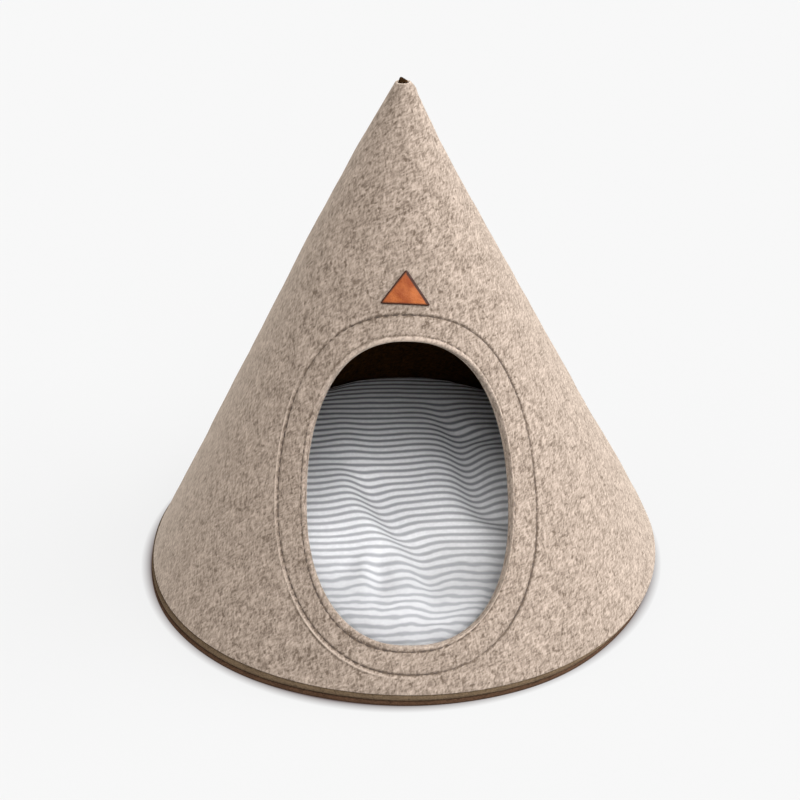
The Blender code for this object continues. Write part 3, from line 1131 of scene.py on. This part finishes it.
# The lining's pinched point, from inside the hole up to its end. Columns: height, radius,
# and how far its middle stands to the right of the cone's.
POINT_SECTION = (
    (0.4630, 0.0022, 0.0000),
    (0.4680, 0.0033, 0.0000),
    (0.4725, 0.0037, 0.0000),
    (0.4753, 0.0038, 0.0000),
    (0.4764, 0.0035, -0.0003),
    (0.4774, 0.0028, -0.0007),
    (0.4783, 0.0020, -0.0011),
    (0.4790, 0.0012, -0.0014),
    (0.4795, 0.0006, -0.0015),
)
POINT_SIDES = 32
# Its pleats. Columns: share of the radius, how many there are and where they start.
POINT_PLEATS = ((0.07, 3, 0.6), (0.05, 7, 0.0))
# The lining's radius at its top, on its outer and its inner face, and the groove of its seam:
# its depth and width.
LINING_TOP = (0.0042, 0.0030)
LINING_SEAM = (0.0008, 0.0015)


class CAVE_OT_lining(bpy.types.Operator):
    """Cut the dark lining round the facing and pinch its point out of the felt's top"""

    bl_idname = "cat_cave.lining"
    bl_label = "Lining"

    def execute(self, context):
        size = cone()
        doorway = Doorway()
        top = -(size.felt + size.gap)
        bottom = top - size.lining
        start = door().facing_reach + 0.02
        near = doorway.ring(LAYER_ROUNDING, start)
        face = sector(along_at_radius(LINING_TOP[0], -top), foot_along(-top))
        back = sector(along_at_radius(LINING_TOP[1], -bottom), foot_along(-bottom))
        face_rows = reversed(outward(near, face, *LINING_FACE_ROWS))
        rows = [at_height(points, top) for points in face_rows]
        rows.append(at_height(doorway.ring(0, start), (top + bottom) / 2))
        depth, width = LINING_SEAM
        for points in outward(near, back, *LINING_BACK_ROWS):
            seam = distance_to_seam(points)
            end = np.linalg.norm(points - back, axis=1)
            quiet = np.clip(seam / SEAM_FADE, 0, 1) * np.clip(end / SEAM_FADE, 0, 1)
            ripple = quiet * uneven(points, LINING_WAVES) + depth * np.exp(-seam / width)
            rows.append(at_height(points, bottom + ripple))
        last = len(rows) - 1
        rows.append(at_height((face + back) / 2, (top + bottom) / 2))
        piece = wind_rows("lining_cloth", rows, seam=(0, last))
        finish_piece(piece, dark_felt_finish(), ("lining",))
        point = self.point()
        reach = foot_along(-top)
        flat = (2 * reach * math.sin(seam_bearing()), reach)
        area = seam_bearing() * reach**2 - door_area(start)
        return {"FINISHED"}

    def point(self):
        """The pinched point, folded into a few pleats."""
        rows = []
        turns = np.linspace(0, 2 * np.pi, POINT_SIDES, endpoint=False)
        pleats = 1
        for size, count, start in POINT_PLEATS:
            pleats = pleats + size * np.cos(count * turns + start)
        for height, radius, aside in reversed(POINT_SECTION):
            out = radius * pleats
            place = np.column_stack([aside + out * np.cos(turns), out * np.sin(turns)])
            rows.append(at_height(place, height, POINT_WEAR))
        piece = closed_grid("lining_point", rows, close_rows=False)
        change_mesh(piece, cap_ends)
        keep_place(piece)
        settle(piece)
        smooth = piece.modifiers.new("Soft folds", "SUBSURF")
        smooth.levels = smooth.render_levels = 1
        make_plain(piece)
        return finish_piece(piece, dark_felt_finish())


# The rim's section at its edge. Columns: how far in from the widest point, height as a share
# of the layer's thickness, and how light or dark it is: painted shade along its top and
# bottom, where the layers meet, and a painted highlight round its widest part.
RIM_SECTION = (
    (0.0030, 1.00, -1.5),
    (0.0012, 0.985, -1.2),
    (0.0004, 0.90, -0.4),
    (0.0000, 0.62, 0.5),
    (0.0000, 0.38, 0.5),
    (0.0004, 0.10, -0.2),
    (0.0012, 0.015, -1.2),
    (0.0030, 0.00, -1.5),
)
RIM_SIDES = 720
RIM_RADIUS = 0.2500
# How uneven its edge is. Columns: size, how many waves go round and where they start.
RIM_WAVES = ((0.0004, 5, 1), (0.0003, 11, 0))
# How wide its edge is, and where points lie on the flat part inside the edge, as shares.
RIM_EDGE = 0.004
RIM_FLAT = (0.0, 0.5, 0.9)
BAND_INNER = 0.2320
BAND_SHIFT = -0.0006
BASE_INNER = 0.0005
BASE_SHIFT = -0.0018


def rim_layer(name, node, inner, aside):
    """A flat ring or disc of felt between a node's lowest and highest points."""
    low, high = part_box(node)
    bottom, top = low[2], high[2]
    turns = np.linspace(0, 2 * np.pi, RIM_SIDES, endpoint=False)
    wave = sum(size * np.sin(count * turns + start) for size, count, start in RIM_WAVES)
    flat = [inner + (RIM_RADIUS - RIM_EDGE - inner) * share for share in RIM_FLAT]
    section = [(out, top, 0) for out in flat]
    # Painted shade at the edge's top and bottom, and a painted highlight at its widest part.
    for away, share, wear in RIM_SECTION:
        section.append((RIM_RADIUS + wave - away, bottom + share * (top - bottom), wear))
    section += [(out, bottom, 0) for out in reversed(flat)]
    rows = []
    for out, height, wear in section:
        place = np.column_stack([out * np.cos(turns), out * np.sin(turns)])
        rows.append(at_height(place, height, wear))
    piece = closed_grid(name, rows, close_rows=inner > BASE_INNER)
    change_mesh(piece, cap_ends)
    keep_place(piece)
    settle(piece, aside - cone().foot_shift)
    return piece


class CAVE_OT_rim(bpy.types.Operator):
    """Cut the round base and the band that the cone's foot is sewn to"""

    bl_idname = "cat_cave.rim"
    bl_label = "Rim"

    def execute(self, context):
        band = self.layer("foot_band", BAND_INNER, BAND_SHIFT, palette().band)
        base = self.layer("base", BASE_INNER, BASE_SHIFT, palette().base)
        return {"FINISHED"}

    def layer(self, node, inner, aside, shade):
        name = f"{node}_cloth"
        dark = darker(shade, 0.45)
        felt = felt_material(f"{name} felt", shade, dark, fibre=0.0035, sheen=0, gloss=0.05)
        return finish_piece(rim_layer(name, node, inner, aside), felt, (node,))


# Folds of the cushion's cover, seen from above. Columns: how deep it is, or under 0 how
# high, how wide, and the line that it runs along.
CUSHION_FOLDS = (
    (0.0100, 0.0135, (
        (0.040, 0.114), (0.057, 0.056), (0.063, 0.013), (0.066, -0.011), (0.069, -0.038),
        (0.077, -0.066), (0.105, -0.087),
    )),
    (0.0088, 0.0140, (
        (-0.061, 0.024), (-0.039, -0.011), (-0.026, -0.047), (-0.008, -0.090),
        (0.011, -0.118), (0.021, -0.147), (0.029, -0.187),
    )),
    (-0.0055, 0.0190, (
        (-0.059, 0.077), (-0.054, 0.015), (-0.050, -0.034), (-0.038, -0.073),
        (-0.021, -0.103), (-0.003, -0.127), (0.004, -0.158),
    )),
    (-0.0040, 0.0220, (
        (-0.002, 0.076), (0.023, 0.032), (0.034, -0.002), (0.039, -0.043), (0.046, -0.069),
        (0.072, -0.089),
    )),
    (-0.0060, 0.0200, ((0.090, 0.060), (0.102, 0.010), (0.108, -0.035))),
    (0.0040, 0.0090, ((0.054, 0.075), (0.074, 0.061), (0.096, 0.040))),
    (0.0020, 0.0080, ((-0.052, -0.137), (-0.046, -0.145))),
    (0.0034, 0.0085, ((-0.020, -0.130), (-0.020, -0.188))),
    (-0.0024, 0.0080, ((-0.033, -0.125), (-0.035, -0.176))),
    (0.0022, 0.0090, ((0.026, -0.171), (0.027, -0.187), (0.050, -0.199))),
)
# A fold fades to its ends as an arch does: where on the arch it starts and how much of it
# the fold takes up, as shares, and its power.
FOLD_ARCH = (0.08, 0.84)
FOLD_FADE = 0.7
# Fine creases between the folds. Columns: size, reach and seed.
CUSHION_CREASES = ((0.0012, 0.060, 6), (0.0005, 0.020, 8))
CUSHION_SEAM_HEIGHT = 0.0280
# How much closer the stripes lie in the ruckled front, and how far forward that starts.
FRONT_GATHER = 0.17
GATHER_START = 0.095
STRIPE_START = -0.0030
CUSHION_TILT = 0.0800
CUSHION_FLOOR = 0.0057
# How far a side of the filled cover may stand over the plain cushion.
CUSHION_SIDE_ROOM = 0.0008
# The height over which the folds grow to their full depth.
FOLD_START = 0.04
FOLD_RISE = 0.03
# The cushion's outline from the middle of its top to its seam. Columns: radius, height.
CUSHION_OUTLINE = (
    (0.0000, 0.0880),
    (0.0900, 0.0880),
    (0.1450, 0.0865),
    (0.1800, 0.0830),
    (0.1980, 0.0765),
    (0.2110, 0.0655),
    (0.2190, 0.0530),
    (0.2240, 0.0400),
    (0.2265, 0.0280),
)


def fold_depth(x, y):
    """How far the folds press the cushion's top down at each place."""
    depth = np.zeros_like(x)
    for size, width, line in CUSHION_FOLDS:
        line = np.array(line)
        runs = lengths_along(line)
        nearest, share = np.full_like(x, np.inf), np.zeros_like(x)
        for start, end, before, after in zip(line, line[1:], runs, runs[1:]):
            way = end - start
            part = ((x - start[0]) * way[0] + (y - start[1]) * way[1]) / way.dot(way)
            part = np.clip(part, 0, 1)
            away = np.hypot(x - start[0] - part * way[0], y - start[1] - part * way[1])
            share = np.where(away < nearest, (before + part * (after - before)) / runs[-1], share)
            nearest = np.minimum(away, nearest)
        ends = np.sin(np.pi * (FOLD_ARCH[0] + FOLD_ARCH[1] * share)) ** FOLD_FADE
        depth += size * ends * bump_at(nearest, width)
    return depth


class CAVE_OT_cushion(bpy.types.Operator):
    """Fill the cushion and lay its striped cover in folds"""

    bl_idname = "cat_cave.cushion"
    bl_label = "Cushion"

    def execute(self, context):
        size = cushion_sizes()
        whole = bmesh.new()
        whole.from_mesh(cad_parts["cushion"].data)
        bmesh.ops.remove_doubles(whole, verts=whole.verts, dist=SAME_PLACE)
        piece = self.start(size, whole)
        self.mark_weave(piece)
        self.shrink(piece, size.slack)
        self.fill(context, piece, size)
        self.fold(piece, size, BVHTree.FromBMesh(whole))
        whole.free()
        smooth = piece.modifiers.new("Smooth", "SUBSURF")
        smooth.levels = smooth.render_levels = 1
        make_plain(piece)
        finish_piece(piece, ticking_material(), ("cushion",))
        return {"FINISHED"}

    def start(self, size, whole):
        """A remeshed copy of the plain cushion."""
        mesh = bpy.data.meshes.new("cushion_cover")
        whole.to_mesh(mesh)
        piece = new_object("cushion_cover", mesh)
        remesh = piece.modifiers.new("Cells", "REMESH")
        remesh.mode = "VOXEL"
        remesh.voxel_size = size.voxel
        soften = piece.modifiers.new("Soften", "SMOOTH")
        soften.factor = 0.5
        soften.iterations = 12
        make_plain(piece)
        return piece

    def shrink(self, piece, distance):
        """Moves every point this far in."""
        modifier = piece.modifiers.new("Shrink", "DISPLACE")
        modifier.strength = -distance
        modifier.mid_level = 0
        make_plain(piece)

    def mark_weave(self, piece):
        """Stores each point's place on the flat cover, so the stripes go with the cloth."""
        x, y, z = points_of(piece.data).T
        outline = np.array(CUSHION_OUTLINE)
        keys = outline[:, 0] - outline[:, 1]
        extra = lengths_along(outline) - outline[:, 0]
        under = z < CUSHION_SEAM_HEIGHT
        crown = CUSHION_OUTLINE[0][1] - CUSHION_SEAM_HEIGHT
        tilt = CUSHION_TILT * y * np.clip((z - CUSHION_SEAM_HEIGHT) / crown, 0, 1)
        out = np.hypot(x, y)
        fallen = np.where(under, z - 2 * CUSHION_SEAM_HEIGHT, tilt - z)
        grow = 1 + np.interp(out + fallen, keys, extra) / np.maximum(out, 0.01)
        gather = FRONT_GATHER * np.maximum(-y - GATHER_START, 0)
        weave = np.column_stack([x * grow, y * grow - gather + STRIPE_START, under * 1.0])
        place = piece.data.attributes.new("weave", "FLOAT_VECTOR", "POINT")
        place.data.foreach_set("vector", weave.astype(np.float32).ravel())

    def fill(self, context, piece, size):
        """Fills the cover by cloth simulation, with no point moving farther than the cap."""
        before = points_of(piece.data)
        cloth = piece.modifiers.new("Cloth", "CLOTH")
        settings = cloth.settings
        settings.quality = 6
        settings.mass = 0.2
        settings.use_pressure = True
        settings.uniform_pressure_force = size.pressure
        settings.shrink_min = -size.loose
        settings.bending_stiffness = 0.3
        settings.effector_weights.gravity = 0
        cloth.point_cache.frame_start = 1
        cloth.point_cache.frame_end = size.frames
        for step in range(1, size.frames + 1):
            context.scene.frame_set(step)
        graph = context.evaluated_depsgraph_get()
        filled = piece.evaluated_get(graph)
        moved = points_of(filled.to_mesh()) - before
        filled.to_mesh_clear()
        piece.modifiers.clear()
        context.scene.frame_set(1)
        far = np.linalg.norm(moved, axis=1)
        moved *= (np.minimum(far, size.cap) / np.maximum(far, 1e-9))[:, None]
        move_points(piece.data, before + moved)

    def fold(self, piece, size, plain):
        """Presses the folds in from above, and keeps the cover by the plain cushion."""
        places = points_of(piece.data)
        x, y, z = places.T
        top = np.clip((z - FOLD_START) / FOLD_RISE, 0, 1)
        z -= top * (fold_depth(x, y) + uneven(places[:, :2], *CUSHION_CREASES))
        for index, place in enumerate(places):
            near, normal, _, _ = plain.find_nearest(Vector(place))
            room = CUSHION_SIDE_ROOM + size.proud * max(normal.z, 0) ** 4
            if (Vector(place) - near).dot(normal) > room:
                places[index] = near + normal * room
        np.maximum(z, CUSHION_FLOOR, out=z)
        move_points(piece.data, places)


# The patch on the flat felt, apart from its rounded corners.
PATCH_TOP = 0.1719
PATCH_HEIGHT = 0.0305
PATCH_WIDTH = 0.0440
PATCH_ASIDE = 0.0047
PATCH_TILT = math.radians(2.6)
PATCH_THICKNESS = 0.0020
PATCH_SIDE_POINTS = 40
PATCH_ROUNDING = 6
# How far its dark edge shows on the patch's left side, its foot and its right side: burnish,
# widest on the right, where it is painted shade as well.
PATCH_BURNISH_AND_SHADE = (1.0, 0.9, 2.4)
# From the patch's edge to its middle. Columns: share of the way, height as a share of its
# thickness, and how dark its edge is, burnish and on the right side painted shade.
PATCH_SECTION = (
    (0.000, 0.35, 1.00),
    (0.006, 0.70, 1.00),
    (0.022, 0.92, 1.00),
    (0.050, 1.02, 0.95),
    (0.085, 1.07, 0.80),
    (0.120, 1.10, 0.62),
    (0.170, 1.14, 0.36),
    (0.250, 1.18, 0.08),
    (0.400, 1.24, 0.00),
    (0.650, 1.28, 0.00),
    (0.900, 1.30, 0.00),
)


def patch_outline():
    """The patch's outline with rounded corners, anticlockwise as seen from outside."""
    half = PATCH_WIDTH / 2
    corners = np.array([(0, 0), (-half, -PATCH_HEIGHT), (half, -PATCH_HEIGHT)])
    share = np.linspace(0, 1, PATCH_SIDE_POINTS, endpoint=False)[:, None]
    points = np.concatenate(
        [corners[i] + share * (corners[(i + 1) % 3] - corners[i]) for i in range(3)]
    )
    for _ in range(PATCH_ROUNDING):
        before, after = np.roll(points, 1, axis=0), np.roll(points, -1, axis=0)
        points = (before + 2 * points + after) / 4
    cos, sin = math.cos(PATCH_TILT), math.sin(PATCH_TILT)
    turn = np.array([(cos, -sin), (sin, cos)])
    return points @ turn + np.array([PATCH_ASIDE, -PATCH_TOP])


class CAVE_OT_leather_patch(bpy.types.Operator):
    """Cut the leather triangle and lay it on the felt above the doorway"""

    bl_idname = "cat_cave.leather_patch"
    bl_label = "Leather Patch"

    def execute(self, context):
        outline = patch_outline()
        middle = outline.mean(axis=0)
        low = cone().gap
        burnish_and_shade = np.repeat(PATCH_BURNISH_AND_SHADE, PATCH_SIDE_POINTS)
        rows = []
        for share in (0.9, 0.3, 0.0):
            rows.append(at_height(outline + (middle - outline) * share, low, 1))
        for share, height, dark in PATCH_SECTION:
            points = outline + (middle - outline) * share
            rows.append(at_height(points, low + PATCH_THICKNESS * height, dark * burnish_and_shade))
        piece = wind_rows("leather_patch_cut", rows, close_rows=False)
        finish_piece(piece, leather_material(), ("leather_patch",))
        return {"FINISHED"}


STITCH_SIDES = 6
STITCH_SECTIONS = 6
STITCH_LENGTH = 0.0064
STITCH_WIDTH = 0.0012
STITCH_RISE = 0.0006
STITCH_SUNK = 0.0004
# It grows thin to its ends in the way that a fold fades.
STITCH_ARCH = (0.12, 0.76)
STITCH_FADE = 0.6
# How deep the two rows lie, as a share of their grooves' depth.
INNER_SUNK = 0.8
OUTER_SUNK = 0.7
# The back seam's rows: how far from the seam, where they start, how far over the foot they
# end, and how deep they lie.
BACK_ROW_AWAY = 0.0030
BACK_ROW_START = 0.03
BACK_ROW_END = 0.006
BACK_ROW_HEIGHT = -0.0002
BACK_ROW_POINTS = 120


def stitch_shape():
    """One stitch, a short thread that dives in at both ends, along X."""
    rows = []
    turns = np.linspace(0, 2 * np.pi, STITCH_SIDES, endpoint=False)
    for share in np.linspace(0, 1, STITCH_SECTIONS):
        arch = math.sin(math.pi * (STITCH_ARCH[0] + STITCH_ARCH[1] * share))
        radius = 0.5 * STITCH_WIDTH * arch**STITCH_FADE
        x = np.full(STITCH_SIDES, (share - 0.5) * STITCH_LENGTH)
        height = STITCH_RISE * math.sin(math.pi * share) - STITCH_SUNK
        rows.append(np.column_stack([x, radius * np.cos(turns), height + radius * np.sin(turns)]))
    stitch = closed_grid("stitch", rows, close_rows=False)
    change_mesh(stitch, cap_ends)
    return stitch


def sew(name, lines, stitch, thread, seed):
    """Sews stitches along flat lines and winds them with the felt."""
    points, edges = [], []
    for line, closed in lines:
        first, count = len(points), len(line)
        points += line.tolist()
        edges += [(first + i, first + i + 1) for i in range(count - 1)]
        if closed:
            edges.append((first + count - 1, first))
    piece = new_piece(name, points, [], edges)
    values = {"Stitch": stitch, "Pitch": door().pitch, "Seed": seed, "Thread": thread}
    run_tree(piece, "Stitch along a line", values)
    wind(piece)
    settle(piece)
    finish_piece(piece, thread)


class CAVE_OT_stitching(bpy.types.Operator):
    """Sew the two rows round the doorway and the seam down the back"""

    bl_idname = "cat_cave.stitching"
    bl_label = "Stitching"

    def execute(self, context):
        turns = door_turns()
        dark = thread_material("Dark thread", palette().thread_dark)
        light = thread_material("Light thread", palette().thread_light)
        stitch = stitch_shape()
        inner = at_height(door_curve(door().inner_row, turns), INNER_SUNK * INNER_GROOVE[1])
        outer = at_height(door_curve(1, turns), OUTER_SUNK * OUTER_GROOVE[1])
        sew("inner_stitches", [(inner, True)], stitch, dark, 3)
        sew("outer_stitches", [(outer, True)], stitch, dark, 5)
        along = np.linspace(BACK_ROW_START, foot_along(0) - BACK_ROW_END, BACK_ROW_POINTS)
        lines = []
        for side in (-1, 1):
            bearing = side * seam_bearing()
            sine, cosine = math.sin(bearing), math.cos(bearing)
            edge = np.column_stack([along * sine, -along * cosine])
            inward = np.array([-side * cosine, -abs(sine)]) * BACK_ROW_AWAY
            lines.append((at_height(edge + inward, BACK_ROW_HEIGHT), False))
        sew("back_stitches", lines, stitch, light, 7)
        bpy.data.objects.remove(stitch)
        return {"FINISHED"}


# ---------------------------------------------------------------------------------------
# The stage
# ---------------------------------------------------------------------------------------

CAMERA_PLACE = Vector((-0.0018, -1.3159, 0.8845))
CAMERA_TARGET = Vector((-0.0018, 0.0, 0.1645))
CAMERA_ROLL = math.radians(-0.39)
CAMERA_LENS = 70.97

# The studio's soft lights. Columns: name, degrees to the right of the front, degrees over
# the floor, strength, how wide it is in degrees, and its colour.
LIGHTS = (
    ("Key", 25, 50, 0.2, 30, (1.0, 1.0, 1.0)),
    ("Front", 12, 42, 3.55, 45, (1.0, 1.0, 1.0)),
    ("Right", 90, 33, 6.9, 60, (0.97, 0.985, 1.0)),
    ("Left", -80, 30, 1.4, 60, (1.0, 0.98, 0.94)),
)
LIGHT_DISTANCE = 3
# The even light from all round and the backdrop that the camera sees.
SKY = (1.0, 0.99, 0.97, 1.0)
SKY_STRENGTH = 0.55
BACKDROP = (0.948, 0.948, 0.948, 1.0)
FLOOR_REACH = 12
FLOOR_GAP = 0.0005


def facing(direction):
    """The turn that points a camera or light this way."""
    return direction.to_track_quat("-Z", "Y").to_matrix().to_4x4()


class CAVE_OT_stage(bpy.types.Operator):
    """Set the floor, the soft light and the camera"""

    bl_idname = "cat_cave.stage"
    bl_label = "Stage"

    def execute(self, context):
        scene = context.scene
        corners = ((-1, -1), (1, -1), (1, 1), (-1, 1))
        level = CAD_BOX[0][2] - FLOOR_GAP
        points = [(x * FLOOR_REACH, y * FLOOR_REACH, level) for x, y in corners]
        floor = new_piece("floor", points, [(0, 1, 2, 3)])
        floor.data.materials.append(floor_material())
        self.set_world(scene)
        for light in LIGHTS:
            self.add_light(*light)
        camera = new_object("Camera", bpy.data.cameras.new("Camera"))
        camera.data.lens = CAMERA_LENS
        roll = Matrix.Rotation(CAMERA_ROLL, 4, "Z")
        turn = facing(CAMERA_TARGET - CAMERA_PLACE)
        camera.matrix_world = Matrix.Translation(CAMERA_PLACE) @ turn @ roll
        scene.camera = camera
        scene.view_settings.view_transform = "Standard"
        return {"FINISHED"}

    def set_world(self, scene):
        """Even light from all round, and a pale backdrop where the camera sees past it."""
        scene.world = scene.world or bpy.data.worlds.new("Studio")
        scene.world.use_nodes = True
        tree = scene.world.node_tree
        light = tree.nodes["Background"]
        light.inputs["Color"].default_value = SKY
        light.inputs["Strength"].default_value = SKY_STRENGTH
        backdrop = wire(tree, "ShaderNodeBackground", {"Color": BACKDROP})
        seen = wire(tree, "ShaderNodeLightPath", output="Is Camera Ray")
        values = {0: seen, 1: Wire(tree, light.outputs[0]), 2: backdrop}
        mixed = wire(tree, "ShaderNodeMixShader", values)
        connect(tree, mixed, tree.nodes["World Output"].inputs["Surface"])

    def add_light(self, name, bearing, elevation, strength, width, tint):
        lamp = new_object(name, bpy.data.lights.new(name, "SUN"))
        lamp.data.energy = strength
        lamp.data.color = tint
        lamp.data.angle = math.radians(width)
        bearing, elevation = math.radians(bearing), math.radians(elevation)
        level = math.cos(elevation)
        away = Vector(
            (math.sin(bearing) * level, -math.cos(bearing) * level, math.sin(elevation))
        )
        lamp.matrix_world = Matrix.Translation(away * LIGHT_DISTANCE) @ facing(-away)


class CAVE_PT_panel(bpy.types.Panel):
    """The cat cave's pieces and sizes"""

    bl_idname = "CAVE_PT_panel"
    bl_label = "Cat Cave"
    bl_space_type = "VIEW_3D"
    bl_region_type = "UI"
    bl_category = "Cat Cave"

    def draw(self, context):
        for operator in OPERATORS:
            self.layout.operator(operator.bl_idname)
        for group in (cone(), door(), cushion_sizes(), palette()):
            box = self.layout.box()
            for name in group.__annotations__:
                box.prop(group, name)


OPERATORS = (
    CAVE_OT_stage,
    CAVE_OT_rim,
    CAVE_OT_outer_felt,
    CAVE_OT_doorway_facing,
    CAVE_OT_lining,
    CAVE_OT_cushion,
    CAVE_OT_leather_patch,
    CAVE_OT_stitching,
)
GROUPS = {
    "cat_cave_cone": ConeSizes,
    "cat_cave_door": DoorSizes,
    "cat_cave_cushion": CushionSizes,
    "cat_cave_colours": CaveColours,
}
CLASSES = (*GROUPS.values(), *OPERATORS, CAVE_PT_panel)


def register():
    for item in CLASSES:
        bpy.utils.register_class(item)
    for name, group in GROUPS.items():
        setattr(bpy.types.Scene, name, PointerProperty(type=group))


def unregister():
    for name in GROUPS:
        delattr(bpy.types.Scene, name)
    for item in reversed(CLASSES):
        bpy.utils.unregister_class(item)


def main():
    register()
    bpy.ops.cat_cave.stage()
    bpy.ops.cat_cave.rim()
    bpy.ops.cat_cave.outer_felt()
    bpy.ops.cat_cave.doorway_facing()
    bpy.ops.cat_cave.lining()
    bpy.ops.cat_cave.cushion()
    bpy.ops.cat_cave.leather_patch()
    bpy.ops.cat_cave.stitching()


if __name__ == "__main__":
    main()
